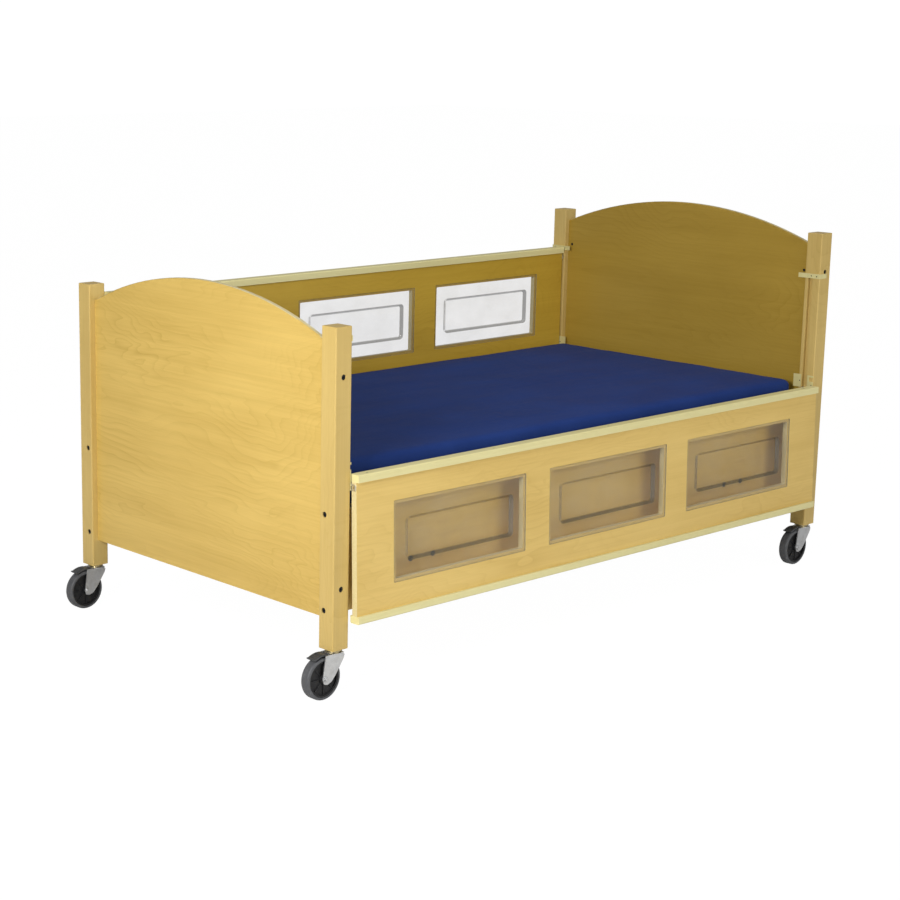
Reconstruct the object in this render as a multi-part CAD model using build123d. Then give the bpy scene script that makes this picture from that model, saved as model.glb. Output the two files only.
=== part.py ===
"""Adjustable home-care bed in maple plywood: two arched end panels between four posts on braked
swivel casters, a profiling sleep deck with a foam mattress, and two drop side rails with clear
formed windows. Millimetres, +Z up, +X to the head end, origin on the floor under the middle."""
from build123d import *
import math
import os

# ---- driving dimensions -------------------------------------------------------------------
LENGTH, WIDTH = 2180.0, 1148.0          # over the posts
POST = 56.0                             # square post section
POST_BASE = 125.0                       # underside of the posts, top of the casters
FOOT_POST_TOP, HEAD_POST_TOP = 992.0, 1099.0
POST_X, POST_Y = (LENGTH - POST) / 2, (WIDTH - POST) / 2
FACE_X, FACE_Y = LENGTH / 2 - POST, WIDTH / 2 - POST      # inner faces of the posts
PANEL_T = 18.0                          # end panel plywood
PANEL_BASE = 205.0
FOOT_ARCH = (945.0, 1056.0)             # panel height at the posts, and at the crown
HEAD_ARCH = (1060.0, 1160.0)
FOOT_BOLTS, HEAD_BOLTS = (292.0, 860.0), (292.0, 973.0)   # heights of the panel bolts
BOARD_BOLTS = (231.0, 493.0)            # heights of the side board bolts

BOARD_T, BOARD_OUT = 18.0, 513.5        # side boards: thickness, outer face from the middle
BOARD_Z = (205.0, 488.0)
BRACKET_TOP = 520.0                     # corner bracket plate on the post
BRACKET_SCREWS = (260.0, 340.0, 460.0)  # heights of the screws into the side boards

RAIL_L, RAIL_T = 2058.0, 19.0           # drop rail panel
RAIL_H, CAP_T = 405.0, 21.0             # height over both caps, cap thickness
TOP_CAP_W, LOW_CAP_W = 36.0, 34.0
LOW_TOP, RAIL_TRAVEL = 600.0, 362.0     # cap top when lowered, lift to the raised place
PLANE_OUT, PLANE_IN = 583.0, 534.5      # rail plane when hung outside, and between the posts
PIN_DROP, PIN_R = 35.0, 4.0             # hanging pins: below the cap top, radius
HANG_TILT = 1.6                         # the lowered rail leans out at its foot, degrees
WINDOWS = ((-894.0, -374.0), (-274.0, 256.0), (357.0, 887.0))    # window cutouts, near rail
WINDOW_Z = (90.0, 316.0)                # window cutout, above the rail's underside
TRAY_INSET = (52.0, 53.0)               # recessed field of the pane, in from the cutout: along, up
TRAY_DEPTH, PANE_T, LIP = 14.0, 3.0, 9.0                # LIP carries the pane's flange
CAP_SCREWS = (-983.0, -500.0, -10.0, 480.0, 970.0)
CLEAR = 0.05                            # radial clearance of the running fits

GROOVE_W, GROOVE_D = 18.0, 11.0         # guide grooves in the posts
GROOVE_Y, GROOVE_Z = 540.0, (470.0, 955.0)
KEEPER_SCREWS = ((543, 960), (563, 959), (523, 611), (568, 600), (568, 568))    # from the middle, up

TUBE, WALL = 30.0, 2.5                  # deck frame tube
DECK_Z, DECK_T = 478.0, 12.0
DECK_Y = 460.0                          # half width over the deck frames
PIVOT_Z = DECK_Z - TUBE / 2
BACK_PIVOT, THIGH_PIVOT, KNEE_PIVOT = 180.0, -20.0, -380.0
PIVOT_R = 6.0
MATTRESS_W, MATTRESS_TOP, MATTRESS_ENDS = 1020.0, 617.0, (-1025.0, 1031.5)
MATTRESS_Z = DECK_Z + DECK_T + 0.3
MATTRESS_SPLITS = (MATTRESS_ENDS[0], -372.0, 10.0, 150.0, MATTRESS_ENDS[1])

CROSS_X, CROSS_Z = 705.0, (285.0, 335.0)    # cross members
BEAM_Y, BEAM = 215.0, 40.0                  # two beams along the bed
ACT_Z, ACT_Y = PIVOT_Z - 100, 110.0         # actuators, on the height of the lever ends
PUSH_R = 15.0

WHEEL_R, WHEEL_W, TRAIL = 59.0, 30.0, 44.0  # casters
HUB_R, AXLE_R, AXLE_Z = 50.5, 4.0, 50.0
CROWN_TOP, CROWN_T = POST_BASE - 9.6, 3.4
FORK_IN, FORK_T = 17.5, 3.0
PEDAL_PIVOT, PEDAL_PIN_R = (-32.0, 112.5), 2.0      # brake pedal pivot: along, up
PEDAL_IN, PEDAL_OUT = 64.0, 68.5                    # pedal shell round the wheel: radii
CORNERS = {"foot_near": (-1, -1), "foot_far": (-1, 1), "head_near": (1, -1), "head_far": (1, 1)}


# ---- small helpers ------------------------------------------------------------------------
def block(x0, x1, y0, y1, z0, z1):
    size = (abs(x1 - x0), abs(y1 - y0), abs(z1 - z0))
    return Pos((x0 + x1) / 2, (y0 + y1) / 2, (z0 + z1) / 2) * Box(*size)


def bar(axis, centre, radius, length):
    """A round bar along X, Y or Z about its centre."""
    turn = {"X": Rot(0, 90, 0), "Y": Rot(90, 0, 0), "Z": Rot(0, 0, 0)}[axis]
    return Pos(*centre) * turn * Cylinder(radius, length)


def box_tube(x0, x1, y0, y1, z0, z1, along):
    """A square tube with open ends."""
    inset = {"X": (0, WALL, WALL), "Y": (WALL, 0, WALL), "Z": (WALL, WALL, 0)}[along]
    dx, dy, dz = inset
    return block(x0, x1, y0, y1, z0, z1) - block(x0 + dx, x1 - dx, y0 + dy, y1 - dy, z0 + dz, z1 - dz)


def eased(shape, radius, axis=None):
    edges = shape.edges() if axis is None else shape.edges().filter_by(axis)
    return fillet(edges, radius)


def mirror_y(shape):
    return mirror(shape, about=Plane.XZ)


def mirror_x(shape):
    return mirror(shape, about=Plane.YZ)


def both_y(shape):
    return [shape, mirror_y(shape)]


def both_x(shape):
    return [shape, mirror_x(shape)]


def group(solids):
    """Several loose pieces as one compound."""
    flat = []
    for item in solids:
        flat += list(item.solids())
    return Compound(flat) if len(flat) > 1 else flat[0]


# ---- posts, end panels and their fasteners ------------------------------------------------
def post(top, bolts):
    """The head-end post on the near side: guide groove, counterbored bolt holes, caster socket."""
    body = block(FACE_X, FACE_X + POST, -WIDTH / 2, -FACE_Y, POST_BASE, top)
    body = eased(body, 3, Axis.Z)
    body = chamfer(body.faces().sort_by(Axis.Z)[-1].edges(), 1.5)
    body -= block(FACE_X, FACE_X + GROOVE_D, -GROOVE_Y - GROOVE_W / 2, -GROOVE_Y + GROOVE_W / 2, *GROOVE_Z)
    for z in bolts:
        body -= bar("Y", (POST_X, -POST_Y, z), 4.3, POST + 2)
        body -= bar("Y", (POST_X, -WIDTH / 2 + 4, z), 8, 8.2)
    for z in BOARD_BOLTS:
        body -= bar("X", (POST_X, -PLANE_IN - 2, z), 4.3, POST + 2)
        body -= bar("X", (LENGTH / 2 - 4, -PLANE_IN - 2, z), 8, 8.2)
    for y, z in KEEPER_SCREWS:
        body -= bar("X", (FACE_X + 8, -y, z), 2.05, 22)
    return body - bar("Z", (POST_X, -POST_Y, POST_BASE + 30), 6.1, 60.2)


def posts(foot):
    near = post(FOOT_POST_TOP, FOOT_BOLTS) if foot else post(HEAD_POST_TOP, HEAD_BOLTS)
    near = mirror_x(near) if foot else near
    return group(both_y(near))


def end_panel(foot):
    """Arched plywood panel between two posts, with blind inside holes for the barrel nuts."""
    side, crown = FOOT_ARCH if foot else HEAD_ARCH
    bolts = FOOT_BOLTS if foot else HEAD_BOLTS
    half = FACE_Y - 0.3
    outline = Plane.YZ * make_face([
        Line((-half, PANEL_BASE), (half, PANEL_BASE)), Line((half, PANEL_BASE), (half, side)),
        ThreePointArc((half, side), (0, crown), (-half, side)), Line((-half, side), (-half, PANEL_BASE))])
    panel = Pos(POST_X - PANEL_T / 2, 0, 0) * extrude(outline, PANEL_T, dir=(1, 0, 0))
    rim = [e for e in panel.edges() if e.bounding_box().max.Z > side + 20]
    panel = fillet(rim, 4)
    for z in bolts:
        for y in (-1, 1):
            panel -= bar("Y", (POST_X, y * (half - 15), z), 4.3, 32)
            panel -= bar("X", (POST_X - 2, y * (FACE_Y - 18), z), 5.1, PANEL_T - 2)
    return mirror_x(panel) if foot else panel


def cap_bolt(head_at, point_at, axis, cross):
    """Socket-head bolt along X or Y between two places; cross is its other two coordinates."""
    way = 1 if point_at > head_at else -1

    def at(v):
        return (v, cross[0], cross[1]) if axis == "X" else (cross[0], v, cross[1])

    bolt = bar(axis, at((head_at + point_at) / 2), 4, abs(point_at - head_at))
    bolt += bar(axis, at(head_at + way * 3), 6.9, 6)
    socket = Pos(*at(head_at + way * 1.5)) * (Rot(0, 90, 0) if axis == "X" else Rot(90, 0, 0))
    return bolt - socket * extrude(RegularPolygon(3, 6), 1.6, both=True)


def post_bolts():
    """Panel bolts along Y through the posts, and side board bolts along X, at all four corners."""
    out = []
    for sx, bolts in ((-1, FOOT_BOLTS), (1, HEAD_BOLTS)):
        for sy in (-1, 1):
            for z in bolts:
                cross = (sx * POST_X, z)
                out.append(cap_bolt(sy * (WIDTH / 2 - 2), sy * (FACE_Y - 24), "Y", cross))
            for z in BOARD_BOLTS:
                cross = (sy * (PLANE_IN + 2), z)
                out.append(cap_bolt(sx * (LENGTH / 2 - 2), sx * (FACE_X - 2.9), "X", cross))
    return group(out)


def barrel_nuts():
    out = []
    for sx, bolts in ((-1, FOOT_BOLTS), (1, HEAD_BOLTS)):
        for sy in (-1, 1):
            for z in bolts:
                nut = bar("X", (sx * (POST_X - 2), sy * (FACE_Y - 18), z), 5, PANEL_T - 4)
                out.append(nut - bar("Y", (sx * POST_X, sy * (FACE_Y - 18), z), 4.05, 12))
    return group(out)


# ---- side boards and the fixed steel frame -------------------------------------------------
def side_boards():
    board = block(-FACE_X + 3.4, FACE_X - 3.4, -BOARD_OUT, -BOARD_OUT + BOARD_T, *BOARD_Z)
    board = eased(board, 3, Axis.X)
    for sx in (-1, 1):
        for dx in (-43, 43):
            at = (sx * CROSS_X + dx, -BOARD_OUT + BOARD_T / 2, sum(CROSS_Z) / 2)
            board -= bar("Y", at, 4.3, BOARD_T + 2)
        for z in BRACKET_SCREWS:
            board -= bar("Y", (sx * (FACE_X - 40), -BOARD_OUT + BOARD_T / 2, z), 3.05, BOARD_T + 2)
    return group(both_y(board))


def corner_brackets():
    """Welded steel corners: a plate on the post for the long bolts, a plate along the side board."""
    inner = BOARD_OUT - BOARD_T
    on_post = block(FACE_X - 3, FACE_X, -PLANE_IN - 22, -BOARD_OUT, BOARD_Z[0], BRACKET_TOP)
    on_post += block(FACE_X - 3, FACE_X, -BOARD_OUT, -inner, *BOARD_Z)
    on_board = block(FACE_X - 70, FACE_X, -inner, -inner + 2.5, *BOARD_Z)
    for z in BOARD_BOLTS:
        on_post -= bar("X", (FACE_X - 1.5, -PLANE_IN - 2, z), 4.05, 8)
    for z in BRACKET_SCREWS:
        on_board -= bar("Y", (FACE_X - 40, -inner, z), 3.05, 12)
    plates = both_x(on_post) + both_x(on_board)
    return group([half for plate in plates for half in both_y(plate)])


def cross_members():
    """Two steel tubes across the bed with welded end plates."""
    reach = BOARD_OUT - BOARD_T
    z0, z1 = CROSS_Z
    tube = box_tube(CROSS_X - 25, CROSS_X + 25, -reach + 5, reach - 5, z0, z1, "Y")
    for sy in (-1, 1):
        plate = block(CROSS_X - 62, CROSS_X + 62, sy * (reach - 5), sy * reach, z0 - 5, z1 + 5)
        plate = eased(plate, 8, Axis.Y)
        for dx in (-43, 43):
            plate -= bar("Y", (CROSS_X + dx, sy * reach, (z0 + z1) / 2), 4.3, 14)
        tube += plate
    return group(both_x(tube))


def frame_beams():
    """Two tubes along the bed, with uprights under the seat frame and rests for the sections."""
    mid = sum(CROSS_Z) / 2
    x_end, top = CROSS_X - 25, mid + BEAM / 2
    y0, y1 = -BEAM_Y - BEAM / 2, -BEAM_Y + BEAM / 2
    loose = [box_tube(-x_end, x_end, y0, y1, mid - BEAM / 2, top, "X")]
    for x, gap in ((25, 0), (135, 0), (-640, 0.5), (640, 0.5)):
        loose.append(block(x - 10, x + 10, -BEAM_Y - 10, -BEAM_Y + 10, top, DECK_Z - TUBE - gap))
    return group([piece for one in loose for piece in both_y(one)])


def frame_screws():
    """Bolts of the cross members, bracket screws and keeper screws."""
    out = []
    inner = BOARD_OUT - BOARD_T
    for sx in (-1, 1):
        for dx in (-43, 43):
            y_head, z = -BOARD_OUT, sum(CROSS_Z) / 2
            bolt = bar("Y", (sx * CROSS_X + dx, -(BOARD_OUT + inner - 12) / 2, z), 4, BOARD_T + 12)
            bolt += bar("Y", (sx * CROSS_X + dx, y_head - 1, z), 8, 2)
            nut = extrude(RegularPolygon(7.5, 6), 3.3, both=True)
            nut = Pos(sx * CROSS_X + dx, -inner + 8.5, z) * Rot(90, 0, 0) * nut
            out += both_y(bolt + nut)
        for z in BRACKET_SCREWS:
            screw = bar("Y", (sx * (FACE_X - 40), -inner - 5.2, z), 3, 16)
            screw += bar("Y", (sx * (FACE_X - 40), -inner + 3.4, z), 5.5, 1.8)
            out += both_y(screw)
    for y, z in KEEPER_SCREWS:
        for sx in (-1, 1):
            screw = bar("X", (sx * (FACE_X + 8), -y, z), 2, 20)
            out += both_y(screw)
    return group(out)


def rail_keepers():
    """Pale wear plates on the inner faces of the posts: a stop strip over the raised rail, folded
    round the head posts, and notched cheeks beside the guide slot at the lowered place."""
    x0, x1 = FACE_X - 2.0, FACE_X
    stop = block(x0, x1, -WIDTH / 2, -494, 952, 967)
    folded = stop + block(x0, FACE_X + 36, -WIDTH / 2 - 1.5, -WIDTH / 2, 952, 967)
    inboard = block(x0, x1, -GROOVE_Y + 12, -499, 590, 632)
    outboard = block(x0, x1, -WIDTH / 2, -GROOVE_Y - 12, 556, 632)
    outboard -= block(x0 - 1, x1 + 1, -WIDTH / 2 - 1, -GROOVE_Y - 19, 612, 626)
    out = []
    for plate in [folded, mirror_x(stop)] + both_x(inboard) + both_x(outboard):
        for y, z in KEEPER_SCREWS:
            for sx in (-1, 1):
                plate -= bar("X", (sx * FACE_X, -y, z), 2.05, 8)
        out += both_y(plate)
    return group(out)


# ---- profiling deck -----------------------------------------------------------------------
def ladder(x0, x1, rungs, pivot=None):
    """A tube frame as loose pieces: two side tubes, bored for their pivot, and rungs between them."""
    z0, z1 = DECK_Z - TUBE, DECK_Z
    sides = []
    for sy in (-1, 1):
        lo, hi = sorted((sy * DECK_Y, sy * (DECK_Y - TUBE)))
        side = box_tube(x0, x1, lo, hi, z0, z1, "X")
        if pivot is not None:
            side -= bar("Y", (pivot, (lo + hi) / 2, PIVOT_Z), PIVOT_R + CLEAR, TUBE + 2)
        sides.append(side)
    inner = DECK_Y - TUBE
    return sides, [box_tube(x, x + TUBE, -inner, inner, z0, z1, "Y") for x in rungs]


def with_ears(sides, x_from, pivot):
    """Side plates outside the side tubes that carry the pins of the next section."""
    way = 1 if pivot > x_from else -1
    z0, z1 = DECK_Z - TUBE + 2, DECK_Z - 2
    out = []
    for sy, side in zip((-1, 1), sides):
        lo, hi = sorted((x_from, pivot + way * 14))
        plate = block(lo, hi, sy * (DECK_Y + 0.5), sy * (DECK_Y + 7.5), z0, z1)
        lo, hi = sorted((x_from, pivot - way * 24))
        weld = block(lo, hi, sy * DECK_Y, sy * (DECK_Y + 0.5), z0, z1)
        pin = bar("Y", (pivot, sy * (DECK_Y + 7.5 - 20), PIVOT_Z), PIVOT_R, 40)
        out.append(side + plate + weld + pin)
    return out


def lever(pivot, way, y):
    """Push lever under a section, with its gusset."""
    low = DECK_Z - TUBE
    arm = block(pivot, pivot + way * 22, y - 6, y + 6, ACT_Z - 22, low)
    return arm + block(pivot, pivot + way * 45, y - 6, y + 6, low - 30, low)


def back_frame():
    sides, rungs = ladder(BACK_PIVOT - 15, 1005, (BACK_PIVOT + 15, 625, 975), BACK_PIVOT)
    return group(sides + [rungs[0] + lever(BACK_PIVOT, 1, ACT_Y)] + rungs[1:])


def thigh_frame():
    rungs_at = (THIGH_PIVOT - 45, KNEE_PIVOT + 30)
    sides, rungs = ladder(KNEE_PIVOT + 23, THIGH_PIVOT + 15, rungs_at, THIGH_PIVOT)
    sides = with_ears(sides, KNEE_PIVOT + 60, KNEE_PIVOT)
    return group(sides + [rungs[0] + lever(THIGH_PIVOT, -1, -ACT_Y)] + rungs[1:])


def calf_frame():
    sides, rungs = ladder(-1005, KNEE_PIVOT + 15, (-1005, -655, KNEE_PIVOT - 45), KNEE_PIVOT)
    return group(sides + rungs)


def seat_frame():
    lo, hi = THIGH_PIVOT + 23, BACK_PIVOT - 23
    sides, rungs = ladder(lo, hi, (lo + 7, hi - TUBE - 7))
    sides = with_ears(with_ears(sides, hi - 40, BACK_PIVOT), lo + 40, THIGH_PIVOT)
    return group(sides + rungs)


def deck(x0, x1):
    """Plywood deck board with rows of round vent holes."""
    board = eased(block(x0, x1, -DECK_Y, DECK_Y, DECK_Z, DECK_Z + DECK_T), 12, Axis.Z)
    count = max(1, int((x1 - x0 - 60) // 130))
    pitch = (x1 - x0) / (count + 1)
    for i in range(count):
        for y in (-300, -100, 100, 300):
            board -= bar("Z", (x0 + pitch * (i + 1), y, DECK_Z + DECK_T / 2), 15, DECK_T + 2)
    return board


def mattress(x0, x1):
    half = MATTRESS_W / 2
    return block(x0 + 0.2, x1 - 0.2, -half, half, MATTRESS_Z, MATTRESS_TOP)


def actuator_body(way, y, pivot):
    """Motor and gear case of a linear actuator with its outer tube, clamped to both beams."""
    start = pivot - way * (PUSH_R + 0.5)
    near, far = start - way * 30, start - way * 330
    case = bar("X", ((near + far) / 2, y, ACT_Z), 22, abs(near - far))
    case += eased(block(min(far, far + way * 110), max(far, far + way * 110), y - 32, y + 32,
                        ACT_Z - 45, ACT_Z + 30), 8, Axis.X)
    sy = 1 if y > 0 else -1
    side = sy * (BEAM_Y - BEAM / 2)
    case += block(far + way * 20, far + way * 90, y + sy * 32, side, ACT_Z - 45, ACT_Z - 39)
    return case - bar("X", ((near + far) / 2 + way * 20, y, ACT_Z), 10 + CLEAR, abs(near - far) - 20)


def actuator_rod(way, y, pivot):
    """Push rod with a rounded nylon nose that bears on the lever of its section."""
    start = pivot - way * (PUSH_R + 0.5)
    tail = start - way * 290
    rod = bar("X", ((start + tail) / 2, y, ACT_Z), 10, abs(start - tail))
    return rod + bar("Y", (start, y, ACT_Z), PUSH_R, 20)


def control_box():
    """Power and control box under the beams, with three sockets on its end."""
    top = sum(CROSS_Z) / 2 - BEAM / 2
    box = eased(block(-180, 60, -90, 90, top - 70, top), 8, Axis.Z)
    for y in (-45, 0, 45):
        box -= bar("X", (60 - 5, y, top - 35), 9, 12)
    for sy in (-1, 1):
        box += block(-150, -110, sy * 90, sy * (BEAM_Y + 10), top - 4, top)
    return box


# ---- drop rails ---------------------------------------------------------------------------
def rail_frame(raised):
    """Placement of a rail part drawn upright about the pin axis at the origin."""
    lift = RAIL_TRAVEL if raised else 0
    z = LOW_TOP - PIN_DROP + lift
    if raised:
        return Pos(0, PLANE_IN, z)
    return Pos(0, -PLANE_OUT, z) * Rot(-HANG_TILT, 0, 0)


def windows_of(raised):
    """Window cutouts along a rail: the far rail's layout mirrors the near one's."""
    return [(-x1, -x0) for x0, x1 in reversed(WINDOWS)] if raised else WINDOWS


def rail_panel(raised):
    """Plywood rail with three window cutouts, each rebated on one face for a flush pane."""
    z_top = PIN_DROP - CAP_T
    z_low = PIN_DROP - RAIL_H + CAP_T
    panel = block(-RAIL_L / 2, RAIL_L / 2, -RAIL_T / 2, RAIL_T / 2, z_low, z_top)
    base = PIN_DROP - RAIL_H
    for x0, x1 in windows_of(raised):
        z0, z1 = base + WINDOW_Z[0], base + WINDOW_Z[1]
        panel -= eased(block(x0, x1, -RAIL_T, PANE_T + 0.2 - RAIL_T / 2, z0, z1), 4, Axis.Y)
        panel -= eased(block(x0 + LIP, x1 - LIP, -RAIL_T, RAIL_T, z0 + LIP, z1 - LIP), 4, Axis.Y)
    for sx in (-1, 1):
        panel -= bar("X", (sx * (RAIL_L / 2 - 10), 0, 0), PIN_R + CLEAR, 21)
    return drill_caps(panel)


def drill_caps(shape):
    for x in CAP_SCREWS:
        for z in (PIN_DROP - 20, PIN_DROP - RAIL_H + 20):
            shape -= bar("Z", (x, 0, z), 2.3, 44)
    return shape


def rail_caps():
    """Solid maple strips along the top and bottom edges."""
    half = RAIL_L / 2
    top = block(-half, half, -TOP_CAP_W / 2, TOP_CAP_W / 2, PIN_DROP - CAP_T, PIN_DROP)
    low = block(-half, half, -LOW_CAP_W / 2, LOW_CAP_W / 2, PIN_DROP - RAIL_H, PIN_DROP - RAIL_H + CAP_T)
    top = fillet(top.edges().filter_by(Axis.X).group_by(Axis.Z)[-1], 4)
    low = fillet(low.edges().filter_by(Axis.X).group_by(Axis.Z)[0], 4)
    out = []
    for cap, z in ((top, PIN_DROP), (low, PIN_DROP - RAIL_H)):
        cap = drill_caps(cap)
        for x in CAP_SCREWS:
            cap -= bar("Z", (x, 0, z), 5.2, 5)
        out.append(cap)
    return group(out)


def rail_screws():
    out = []
    for x in CAP_SCREWS:
        for z, way in ((PIN_DROP, -1), (PIN_DROP - RAIL_H, 1)):
            head = z + way * 1.0
            screw = bar("Z", (x, 0, head + way * 18), 2.2, 36) + bar("Z", (x, 0, head + way * 0.7), 5, 1.4)
            out.append(screw)
    return group(out)


def rail_windows(raised):
    """Clear formed panes: a flat flange in the rebate round a shallow tray with drafted walls."""
    base = PIN_DROP - RAIL_H
    y_face = 0.1 - RAIL_T / 2
    out = []
    for x0, x1 in windows_of(raised):
        z0, z1 = base + WINDOW_Z[0], base + WINDOW_Z[1]
        cx, cz = (x0 + x1) / 2, (z0 + z1) / 2
        w, h = x1 - x0 - 2 * TRAY_INSET[0], z1 - z0 - 2 * TRAY_INSET[1]
        pane = eased(block(x0 + 0.6, x1 - 0.6, y_face, y_face + PANE_T, z0 + 0.6, z1 - 0.6), 3.4, Axis.Y)

        def tray(grow, depth):
            mouth_w, mouth_h = w + 2 * grow, h + 2 * grow
            start = Plane(origin=(cx, y_face, cz), x_dir=(1, 0, 0), z_dir=(0, 1, 0))
            mouth = start * RectangleRounded(mouth_w, mouth_h, 12 + grow)
            floor = start.offset(depth) * RectangleRounded(mouth_w - 16, mouth_h - 16, 6 + grow)
            return loft([mouth, floor])

        pane += tray(PANE_T, TRAY_DEPTH)
        pane -= tray(0, TRAY_DEPTH - PANE_T)
        out.append(pane)
    return group(out)


def rail_guides(side):
    """Two guides, one per end: a shoe in the post's groove with a slotted arm across the rail end."""
    half = 9.0
    shoe = block(FACE_X + 0.1, FACE_X + GROOVE_D - 0.3, GROOVE_Y - GROOVE_W / 2 + CLEAR,
                 GROOVE_Y + GROOVE_W / 2 - CLEAR, -25, 25)
    neck = block(FACE_X - 2.5, FACE_X + 0.2, GROOVE_Y - 8, GROOVE_Y + 8, -half, half)
    arm = block(FACE_X - 4.5, FACE_X - 2.3, PLANE_IN - 13, PLANE_OUT + 8, -half, half)
    guide = shoe + neck + eased(arm, 5, Axis.X)
    r = PIN_R + CLEAR
    guide -= block(FACE_X - 8, FACE_X + 1.5, PLANE_IN, PLANE_OUT, -r, r)
    for y in (PLANE_IN, PLANE_OUT):
        guide -= bar("X", (FACE_X - 3.25, y, 0), r, 9.5)
    pair = both_x(guide)
    return group(pair if side > 0 else [mirror_y(g) for g in pair])


def rail_pins():
    tail, tip = RAIL_L / 2 - 18, FACE_X - 2.2
    pin = bar("X", ((tail + tip) / 2, 0, 0), PIN_R, tip - tail)
    return group(both_x(pin))


# ---- casters ------------------------------------------------------------------------------
def caster_stem():
    """Stem in the post, mounting disc, ball race and king pin, about the swivel axis."""
    stem = bar("Z", (0, 0, POST_BASE + 25), 6, 50) + bar("Z", (0, 0, POST_BASE - 2), 24, 3.8)
    stem += bar("Z", (0, 0, POST_BASE - 6.6), 19, 5.6)
    return stem + bar("Z", (0, 0, POST_BASE - 16), 5, 14)


def caster_fork():
    """Pressed steel yoke: crown, two raked cheeks that taper to the axle, axle and pedal pin."""
    outer = FORK_IN + FORK_T
    low = CROWN_TOP - CROWN_T
    crown = bar("Z", (0, 0, CROWN_TOP - CROWN_T / 2), 24, CROWN_T)
    crown += block(-22, 20, -outer, outer, low, CROWN_TOP)
    outline = make_face(Polyline((15, CROWN_TOP), (23, 108), (19, 97), (-9, 56), (-24, 40), (-38, 34.5),
                                 (-50, 37.5), (-54.5, 50), (-44, CROWN_TOP), close=True))
    cheek = Pos(0, outer, 0) * extrude(Plane.XZ * outline, FORK_T)
    cheek = eased(cheek, 3, Axis.Y)
    fork = crown + cheek + mirror_y(cheek) - bar("Z", (0, 0, CROWN_TOP), 5 + CLEAR, 30)
    fork += bar("Y", (-TRAIL, 0, AXLE_Z), AXLE_R, 2 * outer + 2)
    for sy in (-1, 1):
        fork += bar("Y", (-TRAIL, sy * (outer + 2), AXLE_Z), 7.5, 4)
        fork += bar("Y", (-TRAIL, sy * (outer + 4.5), AXLE_Z), 4.5, 3)
    return fork + bar("Y", (PEDAL_PIVOT[0], 0, PEDAL_PIVOT[1]), PEDAL_PIN_R, 2 * FORK_IN + 2)


def on_axle(shape):
    return Pos(-TRAIL, 0, AXLE_Z) * Rot(90, 0, 0) * shape


def caster_tyre():
    return on_axle(fillet(Cylinder(WHEEL_R, WHEEL_W).edges(), 6) - Cylinder(HUB_R + 0.2, WHEEL_W + 2))


def caster_hub():
    """Moulded wheel centre: rim, dished web with ribs and a bored boss."""
    half = WHEEL_W / 2
    hub = Cylinder(HUB_R, WHEEL_W - 3)
    for s in (-1, 1):
        hub -= Pos(0, 0, s * (half - 3.5)) * Cylinder(HUB_R - 5, 5)
        hub += Pos(0, 0, s * (half - 4)) * Cylinder(13, 10)
        for i in range(8):
            hub += Rot(0, 0, 45 * i) * Pos(HUB_R - 19, 0, s * (half - 4.5)) * Box(30, 2.4, 3)
    return on_axle(hub - Cylinder(AXLE_R + CLEAR, WHEEL_W + 20))


def brake_pedal():
    """Foot lever: a ribbed shell over the back of the wheel, a lip and a bored eye."""
    px, pz = PEDAL_PIVOT

    def round_wheel(radius, angle):
        turn = math.radians(angle)
        return -TRAIL + radius * math.cos(turn), AXLE_Z + radius * math.sin(turn)

    near, far = 84, 121
    lip = [round_wheel(PEDAL_IN, far), round_wheel(PEDAL_OUT + 1, far + 2),
           round_wheel(PEDAL_OUT + 3, far), round_wheel(PEDAL_OUT, far - 3)]
    shell = make_face([
        ThreePointArc(round_wheel(PEDAL_IN, near), round_wheel(PEDAL_IN, 100), lip[0]), Polyline(*lip),
        ThreePointArc(lip[-1], round_wheel(PEDAL_OUT, 100), round_wheel(PEDAL_OUT, near)),
        Line(round_wheel(PEDAL_OUT, near), round_wheel(PEDAL_IN, near))])
    pedal = Pos(0, 15, 0) * extrude(Plane.XZ * shell, 30) + bar("Y", (px, 0, pz), 4, 30)
    for angle in range(98, 119, 5):
        rib = Pos(PEDAL_OUT, 0, 0) * Box(2.4, 27, 1.8)
        pedal += Pos(-TRAIL, 0, AXLE_Z) * Rot(0, -angle, 0) * rib
    return pedal - bar("Y", (px, 0, pz), PEDAL_PIN_R + CLEAR, 40)


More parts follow.
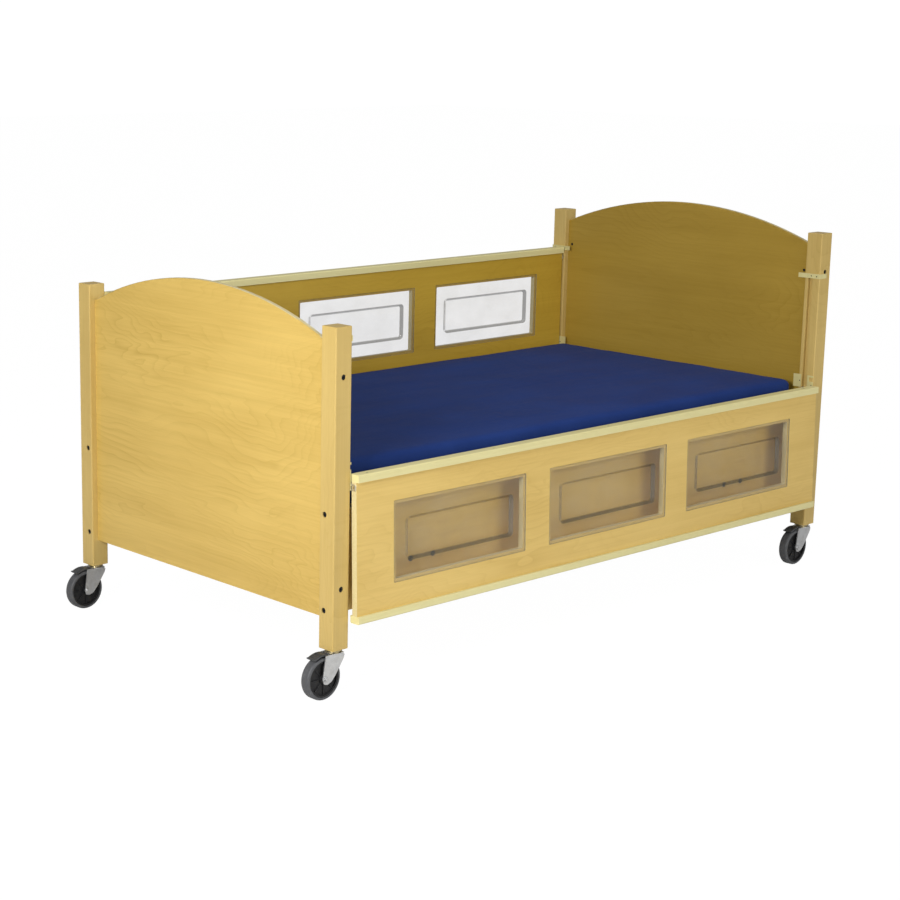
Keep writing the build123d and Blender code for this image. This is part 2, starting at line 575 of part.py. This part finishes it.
# ---- the whole bed ------------------------------------------------------------------------
def build():
    """Every piece by name, in the frame of the posts."""
    parts = {"foot_posts": posts(True), "head_posts": posts(False)}
    parts["foot_panel"], parts["head_panel"] = end_panel(True), end_panel(False)
    parts["post_bolts"], parts["barrel_nuts"] = post_bolts(), barrel_nuts()
    parts["side_boards"], parts["corner_brackets"] = side_boards(), corner_brackets()
    parts["cross_members"], parts["frame_beams"] = cross_members(), frame_beams()
    parts["rail_keepers"], parts["frame_screws"] = rail_keepers(), frame_screws()
    parts["control_box"] = control_box()
    parts["seat_frame"], parts["seat_deck"] = seat_frame(), deck(-8, 150)
    parts["back_frame"], parts["back_deck"] = back_frame(), deck(BACK_PIVOT + 4, 1012)
    parts["thigh_frame"], parts["thigh_deck"] = thigh_frame(), deck(KNEE_PIVOT + 24, THIGH_PIVOT - 14)
    parts["calf_frame"], parts["calf_deck"] = calf_frame(), deck(-1012, KNEE_PIVOT - 4)
    for name, x0, x1 in zip(("calf", "thigh", "seat", "back"), MATTRESS_SPLITS, MATTRESS_SPLITS[1:]):
        parts["mattress_" + name] = mattress(x0, x1)
    for name, way, y, pivot in (("back", 1, ACT_Y, BACK_PIVOT), ("thigh", -1, -ACT_Y, THIGH_PIVOT)):
        parts[name + "_actuator"] = actuator_body(way, y, pivot)
        parts[name + "_push_rod"] = actuator_rod(way, y, pivot)
    for side, raised in (("near", False), ("far", True)):
        place = rail_frame(raised)
        shapes = {"panel": rail_panel(raised), "caps": rail_caps(), "windows": rail_windows(raised),
                  "screws": rail_screws()}
        for piece, shape in shapes.items():
            parts[f"{side}_rail_{piece}"] = group([place * shape])
        parts[side + "_rail_pins"] = group([place * rail_pins()])
        z = LOW_TOP - PIN_DROP + (RAIL_TRAVEL if raised else 0)
        parts[side + "_rail_guides"] = group([Pos(0, 0, z) * rail_guides(1 if raised else -1)])
    stems = []
    for corner, (sx, sy) in CORNERS.items():
        at = Pos(sx * POST_X, sy * POST_Y, 0)
        stems.append(at * caster_stem())
        parts["caster_fork_" + corner] = at * caster_fork()
        parts["caster_tyre_" + corner] = at * caster_tyre()
        parts["caster_hub_" + corner] = at * caster_hub()
        parts["brake_pedal_" + corner] = at * brake_pedal()
    parts["caster_stems"] = group(stems)
    return parts


def shift_of(parts):
    """Move that puts the origin on the floor under the middle of the bounding box."""
    boxes = [p.bounding_box() for p in parts.values()]
    lo = [min(getattr(b.min, k) for b in boxes) for k in "XYZ"]
    hi = [max(getattr(b.max, k) for b in boxes) for k in "XYZ"]
    return -(lo[0] + hi[0]) / 2, -(lo[1] + hi[1]) / 2, -lo[2]


def main():
    os.makedirs("parts", exist_ok=True)
    parts = build()
    dx, dy, dz = shift_of(parts)
    for name, shape in parts.items():
        export_step(group([Pos(dx, dy, dz) * solid for solid in shape.solids()]), f"parts/{name}.step")
    print(len(parts), "nodes, moved by", round(dx, 3), round(dy, 3), round(dz, 3))


if __name__ == "__main__":
    main()
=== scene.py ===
"""Looks of the adjustable care bed: lacquered maple, formed clear windows, a navy mattress cover
and zinc plated casters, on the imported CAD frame. Metres, in the frame's own axes."""
import math

import bmesh
import bpy
from mathutils import Matrix, Vector, noise


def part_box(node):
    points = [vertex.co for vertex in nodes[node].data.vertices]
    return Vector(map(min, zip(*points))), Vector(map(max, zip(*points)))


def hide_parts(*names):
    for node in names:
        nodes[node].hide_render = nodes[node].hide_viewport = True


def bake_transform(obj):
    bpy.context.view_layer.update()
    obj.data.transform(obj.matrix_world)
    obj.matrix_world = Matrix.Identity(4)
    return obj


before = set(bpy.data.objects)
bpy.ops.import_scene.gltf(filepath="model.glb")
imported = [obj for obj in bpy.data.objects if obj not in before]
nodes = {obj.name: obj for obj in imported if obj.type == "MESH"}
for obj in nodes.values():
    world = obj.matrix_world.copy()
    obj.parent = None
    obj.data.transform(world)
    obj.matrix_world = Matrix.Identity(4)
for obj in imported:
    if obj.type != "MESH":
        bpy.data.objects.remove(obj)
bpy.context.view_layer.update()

scene = bpy.context.scene

POST_BASE = 0.125       # the feet of the posts above the level that the camera was fitted to

bed_lo, bed_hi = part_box("foot_posts")[0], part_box("head_posts")[1]
middle = Vector(((bed_lo.x + bed_hi.x) / 2, (bed_lo.y + bed_hi.y) / 2, bed_lo.z - POST_BASE))


# ---- node material helpers -----------------------------------------------------------------
class Mat:
    """A node material with short calls for the nodes used here."""

    def __init__(self, name):
        self.mat = bpy.data.materials.new(name)
        self.mat.use_nodes = True
        self.tree = self.mat.node_tree
        self.tree.nodes.clear()
        self.out = self.tree.nodes.new("ShaderNodeOutputMaterial")
        self.bsdf = self.tree.nodes.new("ShaderNodeBsdfPrincipled")
        self.tree.links.new(self.bsdf.outputs[0], self.out.inputs[0])
        self.coord = self.tree.nodes.new("ShaderNodeTexCoord")

    def link(self, source, target):
        self.tree.links.new(source, target)

    def put(self, socket, value):
        if hasattr(value, "is_linked"):
            self.link(value, socket)
        elif isinstance(value, (tuple, list)) and len(value) == 3 and socket.type == "RGBA":
            socket.default_value = (*value, 1)
        else:
            socket.default_value = value

    def set(self, **values):
        names = {"color": "Base Color", "rough": "Roughness", "metal": "Metallic", "ior": "IOR",
                 "coat": "Coat Weight", "coat_rough": "Coat Roughness", "normal": "Normal",
                 "sheen": "Sheen Weight", "sheen_rough": "Sheen Roughness", "spec": "Specular IOR Level"}
        for key, value in values.items():
            self.put(self.bsdf.inputs[names[key]], value)
        return self

    def scaled(self, size):
        node = self.tree.nodes.new("ShaderNodeMapping")
        self.link(self.coord.outputs["Object"], node.inputs[0])
        node.inputs["Scale"].default_value = size
        return node.outputs[0]

    def noise(self, vector, scale=1.0, detail=3.0, rough=0.5, distortion=0.0):
        node = self.tree.nodes.new("ShaderNodeTexNoise")
        self.put(node.inputs["Vector"], vector)
        inputs = {"Scale": scale, "Detail": detail, "Roughness": rough, "Distortion": distortion}
        for key, value in inputs.items():
            self.put(node.inputs[key], value)
        return node.outputs[0]

    def voronoi(self, vector, scale=1.0):
        node = self.tree.nodes.new("ShaderNodeTexVoronoi")
        self.put(node.inputs["Vector"], vector)
        node.inputs["Scale"].default_value = scale
        return node.outputs["Distance"]

    def math(self, kind, a, b=0.0, c=0.0):
        node = self.tree.nodes.new("ShaderNodeMath")
        node.operation = kind
        for i, value in enumerate((a, b, c)):
            self.put(node.inputs[i], value)
        return node.outputs[0]

    def ramp(self, value, low, high, to_low=0.0, to_high=1.0):
        node = self.tree.nodes.new("ShaderNodeMapRange")
        self.put(node.inputs["Value"], value)
        limits = {"From Min": low, "From Max": high, "To Min": to_low, "To Max": to_high}
        for key, number in limits.items():
            node.inputs[key].default_value = number
        return node.outputs[0]

    def mix(self, factor, a, b):
        node = self.tree.nodes.new("ShaderNodeMix")
        node.data_type = "RGBA"
        self.put(node.inputs[0], factor)
        self.put(node.inputs[6], a)
        self.put(node.inputs[7], b)
        return node.outputs[2]

    def parts(self, vector):
        node = self.tree.nodes.new("ShaderNodeSeparateXYZ")
        self.link(vector, node.inputs[0])
        return node.outputs

    def vector(self, x, y, z):
        node = self.tree.nodes.new("ShaderNodeCombineXYZ")
        for i, value in enumerate((x, y, z)):
            self.put(node.inputs[i], value)
        return node.outputs[0]

    def bump(self, height, strength, distance=0.001):
        node = self.tree.nodes.new("ShaderNodeBump")
        node.inputs["Strength"].default_value = strength
        node.inputs["Distance"].default_value = distance
        self.link(height, node.inputs["Height"])
        return node.outputs[0]


RING_PITCH, PLY_PITCH, KNIT_PITCH = 0.013, 0.0042, 0.0016    # figure, veneer pair and stitch


def wood(name, grain, light, dark, figure=1.0, seed=0.0, rough=0.4, ply=None):
    """Lacquered maple with the grain along one axis. figure scales the veneer's contour lines. ply
    names the thickness axis of a plywood piece whose cut edges show their layers."""
    m = Mat(name)
    place = dict(zip("XYZ", m.parts(m.coord.outputs["Object"])[:3]))
    along = place[grain]
    sides = [place[k] for k in "XYZ" if k != grain]
    depth = place[ply] if ply else sides[0]
    face = sides[1] if depth is sides[0] else sides[0]

    def stretched(a, f, d=1.0):
        shifted = m.math("ADD", m.math("MULTIPLY", face, f), seed)
        return m.vector(m.math("MULTIPLY", along, a), shifted, m.math("MULTIPLY", depth, d))

    swirl = m.noise(stretched(1.0, 2.6), 1.0, 4.0, 0.5, 0.5)
    level = m.math("ADD", m.math("MULTIPLY", face, 0.5), m.math("MULTIPLY", swirl, 0.42))
    ring = m.math("FRACT", m.math("MULTIPLY", level, 1 / RING_PITCH))
    band = m.math("POWER", ring, 4.0)
    fade = m.ramp(m.noise(stretched(1.9, 4.4, 2.0), 1.0, 2.0), 0.38, 0.66, 0.15, 1.0)
    band = m.math("MULTIPLY", band, fade)
    fibre = m.noise(stretched(3.0, 190.0, 190.0), 1.0, 4.0, 0.6)
    streak = m.noise(stretched(0.8, 26.0, 6.0), 1.0, 3.0, 0.55, 0.6)
    blotch = m.noise(stretched(1.7, 4.2), 1.0, 3.0, 0.55)
    fleck = m.ramp(m.noise(stretched(45.0, 430.0), 1.0, 1.0), 0.62, 0.74)
    tone = m.math("MULTIPLY", band, 0.34 * figure)
    for part, low, high, share in ((blotch, 0.3, 0.7, 0.36), (streak, 0.35, 0.68, 0.20 * figure),
                                   (fibre, 0.35, 0.65, 0.16), (fleck, 0.0, 1.0, 0.08)):
        tone = m.math("ADD", tone, m.ramp(part, low, high, 0.0, share))
    color = m.mix(tone, light, dark)
    if ply:
        normal = m.parts(m.coord.outputs["Normal"])["XYZ".index(ply)]
        edge = m.ramp(m.math("ABSOLUTE", normal), 0.55, 0.45)
        layer = m.math("SINE", m.math("MULTIPLY", depth, 2 * math.pi / PLY_PITCH))
        cut = m.mix(m.ramp(layer, -0.3, 0.3), (0.72, 0.62, 0.33), (0.56, 0.44, 0.19))
        cut = m.mix(m.ramp(fibre, 0.3, 0.7, 0.0, 0.4), cut, (0.80, 0.74, 0.46))
        color = m.mix(edge, color, cut)
    height = m.math("ADD", m.math("MULTIPLY", fibre, 0.6), m.math("MULTIPLY", band, 0.2))
    m.set(color=color, rough=m.ramp(fibre, 0.2, 0.8, rough - 0.05, rough + 0.09),
          normal=m.bump(height, 0.14, 0.0005), coat=0.2, coat_rough=0.25, ior=1.5, spec=0.35)
    return m.mat


def metal(name, color, rough=0.3, brushed="Z", spots=0.3, tarnish=(0.35, 0.34, 0.31)):
    """Plated or drawn steel, with fine brushing, mottled plating and dull patches."""
    m = Mat(name)
    stretch = {"X": (12, 900, 900), "Y": (900, 12, 900), "Z": (900, 900, 12)}[brushed]
    brush = m.noise(m.scaled(stretch), 1.0, 2.0)
    spangle = m.voronoi(m.scaled((260, 260, 260)), 1.0)
    patch = m.ramp(m.noise(m.scaled((45, 45, 45)), 1.0, 4.0), 0.45, 0.75)
    shade = m.mix(m.ramp(spangle, 0.1, 0.7, 0.0, 0.22), color, tuple(c * 0.72 for c in color))
    m.set(color=m.mix(m.math("MULTIPLY", patch, spots), shade, tarnish), metal=1.0,
          rough=m.ramp(brush, 0.3, 0.7, rough - 0.07, rough + 0.1), normal=m.bump(brush, 0.08, 0.0004))
    return m.mat


def plastic(name, color, rough=0.45, grain=1400.0, dust=(0.3, 0.3, 0.3), dusty=0.12):
    """Moulded plastic with a fine spark texture and a little dust."""
    m = Mat(name)
    pebble = m.voronoi(m.scaled((grain,) * 3), 1.0)
    cloud = m.ramp(m.noise(m.scaled((30, 30, 30)), 1.0, 5.0), 0.45, 0.8)
    m.set(color=m.mix(m.math("MULTIPLY", cloud, dusty), color, dust),
          rough=m.ramp(cloud, 0, 1, rough, rough + 0.15), normal=m.bump(pebble, 0.12, 0.0003), spec=0.45)
    return m.mat


def painted(name, color, rough=0.42):
    """Powder coat: orange peel, slight gloss changes, paler at rubbed places."""
    m = Mat(name)
    peel = m.noise(m.scaled((650, 650, 650)), 1.0, 2.0)
    rub = m.ramp(m.noise(m.scaled((14, 14, 14)), 1.0, 6.0), 0.55, 0.8)
    m.set(color=m.mix(m.math("MULTIPLY", rub, 0.25), color, tuple(min(1, c * 1.3) for c in color)),
          rough=m.ramp(rub, 0, 1, rough, rough + 0.12), normal=m.bump(peel, 0.16, 0.0004), coat=0.15)
    return m.mat


def rubber(name, color):
    m = Mat(name)
    fine = m.noise(m.scaled((900, 900, 900)), 1.0, 3.0)
    scuff = m.ramp(m.noise(m.scaled((55, 55, 55)), 1.0, 5.0), 0.5, 0.75)
    m.set(color=m.mix(m.math("MULTIPLY", scuff, 0.35), color, (0.2, 0.2, 0.2)),
          rough=m.ramp(scuff, 0, 1, 0.5, 0.75), normal=m.bump(fine, 0.25, 0.0004), spec=0.4)
    return m.mat


def clear_sheet(name):
    """Clear formed sheet: see-through with a faint milky haze and a reflection at a grazing view, and
    painted shade on the tray walls, which get a darker tone.
    """
    m = Mat(name)
    haze = m.noise(m.scaled((9, 9, 14)), 1.0, 4.0)
    ripple = m.noise(m.scaled((7, 7, 11)), 1.0, 1.0)
    normal = m.bump(ripple, 0.3, 0.003)
    flat = m.math("ABSOLUTE", m.parts(m.coord.outputs["Normal"])[1])
    # painted shade: the tray walls, which turn away from the sheet's face, get a darker tone, a darker
    # see-through colour and more of that tone
    painted_dark_wall = m.ramp(flat, 0.97, 0.80)
    tone = m.mix(painted_dark_wall, (0.56, 0.52, 0.40), (0.24, 0.225, 0.18))
    m.set(color=tone, rough=m.ramp(haze, 0.3, 0.7, 0.12, 0.2), normal=normal, spec=0.6)

    def shader(kind):
        return m.tree.nodes.new("ShaderNode" + kind)

    clear, glossy = shader("BsdfTransparent"), shader("BsdfGlossy")
    veil, top = shader("MixShader"), shader("MixShader")
    m.put(clear.inputs[0], m.mix(painted_dark_wall, (0.955, 0.955, 0.96), (0.72, 0.72, 0.72)))
    m.put(glossy.inputs["Roughness"], m.ramp(haze, 0.3, 0.7, 0.03, 0.1))
    m.link(normal, glossy.inputs["Normal"])
    milk = m.ramp(haze, 0.3, 0.7, 0.05, 0.11)
    m.put(veil.inputs[0], m.math("ADD", milk, m.math("MULTIPLY", painted_dark_wall, 0.2)))
    m.link(clear.outputs[0], veil.inputs[1])
    m.link(m.bsdf.outputs[0], veil.inputs[2])
    fresnel, path, geometry = shader("Fresnel"), shader("LightPath"), shader("NewGeometry")
    fresnel.inputs["IOR"].default_value = 1.45
    front = m.math("SUBTRACT", 1.0, geometry.outputs["Backfacing"])
    lit = m.math("SUBTRACT", 1.0, path.outputs["Is Shadow Ray"])
    m.put(top.inputs[0], m.math("MULTIPLY", fresnel.outputs[0], m.math("MULTIPLY", front, lit)))
    m.link(veil.outputs[0], top.inputs[1])
    m.link(glossy.outputs[0], top.inputs[2])
    m.link(top.outputs[0], m.out.inputs[0])
    return m.mat


def cover_fabric(name):
    """Coated stretch cover: fine knit, soft sheen, shallow creases along the bed and cloudy wear."""
    m = Mat(name)
    x, y, z = m.parts(m.coord.outputs["Object"])[:3]
    knit = 2 * math.pi / KNIT_PITCH
    across = m.math("MULTIPLY", m.math("ADD", y, z), knit)
    weave = m.math("MULTIPLY", m.math("SINE", m.math("MULTIPLY", x, knit)), m.math("SINE", across))
    cloud = m.noise(m.scaled((5, 8, 5)), 1.0, 4.0)
    crease = m.noise(m.scaled((2.2, 30, 24)), 1.0, 3.0, 0.5, 0.8)
    pucker = m.noise(m.scaled((14, 60, 50)), 1.0, 2.0)
    color = m.mix(m.ramp(cloud, 0.35, 0.7), (0.011, 0.033, 0.158), (0.016, 0.043, 0.192))
    color = m.mix(m.ramp(weave, -1.0, 1.0, 0.0, 0.22), color, (0.022, 0.052, 0.215))
    height = m.math("ADD", m.math("MULTIPLY", weave, 0.06), m.math("MULTIPLY", crease, 3.0))
    height = m.math("ADD", height, m.math("MULTIPLY", pucker, 0.5))
    m.set(color=color, rough=m.ramp(cloud, 0.3, 0.7, 0.62, 0.74), normal=m.bump(height, 0.3, 0.0014),
          sheen=0.01, sheen_rough=0.4, spec=0.09)
    return m.mat


HONEY, TAN = (0.80, 0.575, 0.185), (0.58, 0.375, 0.085)       # lacquered maple, pale and dark
mats = {
    "foot_panel": wood("maple_foot_panel", "Y", (0.71, 0.495, 0.135), (0.50, 0.32, 0.062),
                       1.15, 2.3, ply="X"),
    # head panel: a darker copy of the maple, painted shade for the headboard's inner face, which lies in
    # shade
    "head_panel": wood("maple_head_panel_painted_shade", "Y", (0.47, 0.305, 0.045), (0.33, 0.20, 0.018),
                       0.8, 7.9, ply="X"),
    "board": wood("maple_board", "X", (0.80, 0.55, 0.15), (0.575, 0.355, 0.07), 0.8, 4.1, ply="Y"),
    "near_rail": wood("maple_near_rail", "X", HONEY, TAN, 0.8, 1.7, ply="Y"),
    # far rail: a darker copy of the maple, painted shade for the far rail's inner face, which lies in
    # shade
    "far_rail": wood("maple_far_rail_painted_shade", "X", (0.60, 0.39, 0.045), (0.42, 0.25, 0.018), 0.8, 5.3, ply="Y"),
    "post": wood("maple_post", "Z", (0.66, 0.48, 0.165), (0.46, 0.30, 0.07), 0.6, 3.1),
    "cap": wood("pale_maple", "X", (0.80, 0.735, 0.38), (0.66, 0.575, 0.24), 0.4, 9.4),
    "keeper": wood("maple_keeper", "Z", (0.71, 0.64, 0.31), (0.57, 0.49, 0.2), 0.4, 8.2),
    "deck": wood("birch_deck", "Y", (0.66, 0.5, 0.26), (0.48, 0.33, 0.14), 0.7, 6.2, ply="Z"),
    "pane": clear_sheet("clear_pane"),
    "frame": painted("painted_tube", (0.36, 0.37, 0.38)),
    "grey": plastic("grey_plastic", (0.12, 0.125, 0.13)),
    "black": plastic("black_plastic", (0.008, 0.008, 0.009), rough=0.5, dusty=0.04),
    "pedal": plastic("pedal_plastic", (0.05, 0.052, 0.055), rough=0.38),
    "steel": metal("bright_steel", (0.62, 0.61, 0.58), rough=0.3, brushed="X"),
    "zinc": metal("zinc_plate", (0.74, 0.75, 0.76), rough=0.42),
    "yellow_zinc": metal("yellow_zinc", (0.6, 0.5, 0.28), rough=0.35, tarnish=(0.35, 0.28, 0.15)),
    "oxide": metal("black_oxide", (0.05, 0.05, 0.052), rough=0.45, tarnish=(0.02, 0.02, 0.02)),
    "tread": rubber("grey_tread", (0.085, 0.087, 0.093)),
    "cover": cover_fabric("mattress_cover"),
}


def paint(obj, key):
    obj.data.materials.clear()
    obj.data.materials.append(mats[key])


def key_for(name):
    exact = {"foot_panel": "foot_panel", "head_panel": "head_panel", "side_boards": "board",
             "near_rail_panel": "near_rail", "far_rail_panel": "far_rail", "rail_keepers": "keeper",
             "control_box": "grey", "caster_stems": "yellow_zinc"}
    if name in exact:
        return exact[name]
    ends = (("_posts", "post"), ("_caps", "cap"), ("_windows", "pane"), ("_deck", "deck"),
            ("_frame", "frame"), ("_members", "frame"), ("_beams", "frame"), ("_brackets", "frame"),
            ("_actuator", "grey"), ("_rod", "steel"), ("_pins", "steel"), ("_guides", "zinc"),
            ("_screws", "oxide"), ("_bolts", "oxide"), ("_nuts", "oxide"))
    for end, key in ends:
        if name.endswith(end):
            return key
    starts = (("caster_fork", "zinc"), ("caster_tyre", "tread"), ("caster_hub", "black"),
              ("brake_pedal", "pedal"), ("mattress", "cover"))
    return next(key for start, key in starts if name.startswith(start))


for node_name, node in nodes.items():
    paint(node, key_for(node_name))


# ---- mattress ------------------------------------------------------------------------------
SOFT_EDGE = (0.026, 0.026, 0.020)                  # reach of the rounding along x, y and z
GRID_QUICK, GRID_FULL = 0.024, 0.014
SLACK, PUFF_LIMIT = 0.004, 0.006                   # room left for the puff, and its cap
PRESSURE, CLOTH_FRAMES = 4.0, 20
FOLD_LONG, FOLD_SLANTED, FOLD_CROSS = 0.0024, 0.0014, 0.0010


def mattress_shell(lo, hi, step):
    """Closed rounded block of cloth, gridded on every side."""
    bm = bmesh.new()
    sizes = [max(2, round((hi[i] - lo[i]) / step)) for i in range(3)]
    bmesh.ops.create_cube(bm, size=1.0)
    for v in bm.verts:
        v.co = Vector([(lo[i] + hi[i]) / 2 + v.co[i] * (hi[i] - lo[i]) for i in range(3)])
    for axis in range(3):
        edges = [e for e in bm.edges if abs((e.verts[1].co - e.verts[0].co).normalized()[axis]) > 0.99]
        bmesh.ops.subdivide_edges(bm, edges=edges, cuts=sizes[axis] - 1, use_grid_fill=True)
    mesh = bpy.data.meshes.new("mattress_shell")
    bm.to_mesh(mesh)
    bm.free()
    return mesh


def rounded(p, lo, hi):
    """The place on a soft-edged block for a point on the plain block."""
    inner = Vector([min(max(p[i], lo[i] + SOFT_EDGE[i]), hi[i] - SOFT_EDGE[i]) for i in range(3)])
    away = Vector([(p[i] - inner[i]) / SOFT_EDGE[i] for i in range(3)])
    if away.length < 1e-9:
        return Vector(p)
    away.normalize()
    return inner + Vector([away[i] * SOFT_EDGE[i] for i in range(3)])


def folds(p):
    """Height of the soft folds of the loose cover: long ones with the bed, shorter ones across."""
    long_fold = noise.noise(Vector((p.x * 1.1, p.y * 8.0 + 0.7 * math.sin(p.x * 2.1), 4.0)))
    slanted = noise.noise(Vector((p.x * 2.6 + p.y * 3.0, p.y * 9.0, 9.0)))
    cross = noise.noise(Vector((p.x * 6.0, p.y * 2.0, p.z * 9.0)))
    return FOLD_LONG * long_fold + FOLD_SLANTED * slanted + FOLD_CROSS * cross


def swell(mesh, cap):
    """Fill the shell by cloth simulation, so the loose cover puckers, and cap how far it moves."""
    rest = [v.co.copy() for v in mesh.vertices]
    obj = bpy.data.objects.new("mattress_cloth", mesh)
    scene.collection.objects.link(obj)
    pad = obj.modifiers.new("Cloth", "CLOTH")
    pad.settings.use_pressure = True
    pad.settings.uniform_pressure_force = PRESSURE
    pad.settings.quality = 4
    pad.settings.tension_stiffness = pad.settings.compression_stiffness = 12
    pad.settings.bending_stiffness = 0.15
    pad.settings.shrink_min = -0.012
    pad.settings.effector_weights.gravity = 0
    pad.point_cache.frame_start, pad.point_cache.frame_end = 1, CLOTH_FRAMES
    for step in range(1, CLOTH_FRAMES + 1):
        scene.frame_set(step)
    shaped = obj.evaluated_get(bpy.context.evaluated_depsgraph_get())
    for v, start, now in zip(mesh.vertices, rest, shaped.data.vertices):
        move = now.co - start
        v.co = start + move * min(1.0, cap / max(move.length, 1e-9))
    obj.modifiers.clear()
    bpy.data.objects.remove(obj)
    scene.frame_set(1)


def mattress_mesh(lo, hi):
    """The whole mattress: rounded block with folds, swollen by cloth simulation."""
    slack = SLACK
    lo, hi = lo + Vector((slack, slack, 0)), hi - Vector((slack, slack, slack))
    mesh = mattress_shell(lo, hi, GRID_FULL)
    for v in mesh.vertices:
        p = rounded(v.co, lo, hi)
        top = max(0.0, min(1.0, ((p.z - lo.z) / (hi.z - lo.z) - 0.7) * 4))
        p.z += top * folds(p)
        outward = 1 if p.y > (lo.y + hi.y) / 2 else -1
        p.y += outward * (1 - top) * folds(Vector((p.x, p.z * 3, p.y)))
        v.co = p
    swell(mesh, PUFF_LIMIT)
    return mesh


def cut_between(mesh, name, start, end):
    """The stretch of the mattress between two places along the bed, closed where it is cut."""
    bm = bmesh.new()
    bm.from_mesh(mesh)
    for place, outer in ((start, False), (end, True)):
        if place is None:
            continue
        everything = bm.verts[:] + bm.edges[:] + bm.faces[:]
        bmesh.ops.bisect_plane(bm, geom=everything, plane_co=(place, 0, 0), plane_no=(1, 0, 0),
                               clear_outer=outer, clear_inner=not outer)
        rim = [e for e in bm.edges if e.is_boundary]
        bmesh.ops.holes_fill(bm, edges=rim)
        for edge in rim:
            edge.smooth = False
    for face in bm.faces:
        face.smooth = True
    part = bpy.data.meshes.new(name)
    bm.to_mesh(part)
    bm.free()
    obj = bpy.data.objects.new(name, part)
    scene.collection.objects.link(obj)
    part.materials.append(mats["cover"])
    return obj


def make_mattress():
    """One mattress in three stretches, each taking the place of the model's mattress pieces it covers.
    """
    boxes = {part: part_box("mattress_" + part) for part in ("calf", "thigh", "seat", "back")}
    lo = Vector([min(b[0][i] for b in boxes.values()) for i in range(3)])
    hi = Vector([max(b[1][i] for b in boxes.values()) for i in range(3)])
    mesh = mattress_mesh(lo, hi)
    seams = [(boxes[part][0].x + boxes[part][1].x) / 2 for part in ("thigh", "seat")]
    spans = ((None, seams[0]), (seams[0], seams[1]), (seams[1], None))
    plans = (
        ("mattress_foot_end", ("calf_section", "thigh_section"), "calf_tilt", ("mattress_calf",)),
        ("mattress_middle", ("thigh_section", "bedstead"), "thigh_tilt",
         ("mattress_thigh", "mattress_seat")),
        ("mattress_head_end", ("bedstead", "back_section"), "back_tilt", ("mattress_back",)))
    for (start, end), (name, pair, joint, replaced) in zip(spans, plans):
        piece = cut_between(mesh, name, start, end)
        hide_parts(*replaced)
        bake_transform(piece)


make_mattress()


# ---- floor, light and camera ---------------------------------------------------------------
def seen_white(m, surface, share):
    """White for the camera, while light and reflections meet the plain surface."""
    glow = m.tree.nodes.new("ShaderNodeEmission")
    glow.inputs["Strength"].default_value = 1.03
    both = m.tree.nodes.new("ShaderNodeMixShader")
    path = m.tree.nodes.new("ShaderNodeLightPath")
    m.put(both.inputs[0], m.math("MULTIPLY", path.outputs["Is Camera Ray"], share))
    m.link(surface, both.inputs[1])
    m.link(glow.outputs[0], both.inputs[2])
    m.link(both.outputs[0], m.out.inputs[0])


def stage_floor():
    bpy.ops.mesh.primitive_plane_add(size=60, location=(0, 0, -0.0005))
    floor = bpy.context.object
    floor.name = "studio_floor"
    m = Mat("studio_floor")
    cloud = m.noise(m.scaled((0.6, 0.6, 0.6)), 1.0, 2.0)
    m.set(color=m.mix(cloud, (0.78, 0.78, 0.78), (0.82, 0.82, 0.82)), rough=0.9, spec=0.1)
    seen_white(m, m.bsdf.outputs[0], 0.96)
    floor.data.materials.append(m.mat)


def soft_light(name, place, target, size, power):
    data = bpy.data.lights.new(name, "AREA")
    data.shape = "RECTANGLE"
    data.size, data.size_y = size
    data.energy = power
    obj = bpy.data.objects.new(name, data)
    obj.location = place
    obj.rotation_euler = (Vector(target) - Vector(place)).to_track_quat("-Z", "Y").to_euler()
    scene.collection.objects.link(obj)


def studio():
    stage_floor()
    world = bpy.data.worlds.new("studio")
    scene.world = world
    world.use_nodes = True
    tree = world.node_tree
    tree.nodes.clear()
    out = tree.nodes.new("ShaderNodeOutputWorld")
    seen, fill = (tree.nodes.new("ShaderNodeBackground") for _ in range(2))
    mix = tree.nodes.new("ShaderNodeMixShader")
    path = tree.nodes.new("ShaderNodeLightPath")
    seen.inputs["Color"].default_value = (1, 1, 1, 1)
    seen.inputs["Strength"].default_value = 1.05
    fill.inputs["Color"].default_value = (1, 1, 1, 1)
    fill.inputs["Strength"].default_value = 0.24
    tree.links.new(path.outputs["Is Camera Ray"], mix.inputs[0])
    tree.links.new(fill.outputs[0], mix.inputs[1])
    tree.links.new(seen.outputs[0], mix.inputs[2])
    tree.links.new(mix.outputs[0], out.inputs[0])
    soft_light("key_foot", (-3.9, -1.5, 2.0), (-1.0, -0.1, 0.6), (1.2, 1.2), 112)
    soft_light("key_side", (0.5, -5.2, 2.2), (0.0, -0.4, 0.45), (2.6, 1.6), 92)
    soft_light("top_soft", (0.2, 0.2, 4.2), (0.1, 0, 0.5), (3.0, 2.4), 32)


VIEW_ANGLES = (40.665, 12.107, 0.333)              # heading, fall and roll in degrees
VIEW_OFFSET = Vector((-4.4011, -4.2072, 1.7332))   # camera from the middle of the bed
FOCAL_MM, SENSOR_MM, LENS_SHIFT = 77.708, 36, (0.1897, -0.0031)


def photo_camera():
    """The fitted viewpoint: place, heading, fall and roll, with the lens shifted to frame the bed."""
    heading, fall, roll = (math.radians(a) for a in VIEW_ANGLES)
    level = math.cos(fall)
    back = Vector((-math.sin(heading) * level, -math.cos(heading) * level, math.sin(fall)))
    right = Vector((math.cos(heading), -math.sin(heading), 0))
    up = back.cross(right)
    right2 = math.cos(roll) * right + math.sin(roll) * up
    up2 = -math.sin(roll) * right + math.cos(roll) * up
    data = bpy.data.cameras.new("camera")
    data.sensor_width = SENSOR_MM
    data.lens = FOCAL_MM
    data.shift_x, data.shift_y = LENS_SHIFT
    obj = bpy.data.objects.new("camera", data)
    turn = Matrix((right2, up2, back)).transposed()
    obj.matrix_world = Matrix.Translation(middle + VIEW_OFFSET) @ turn.to_4x4()
    scene.collection.objects.link(obj)
    scene.camera = obj


studio()
photo_camera()
scene.view_settings.view_transform = "Standard"
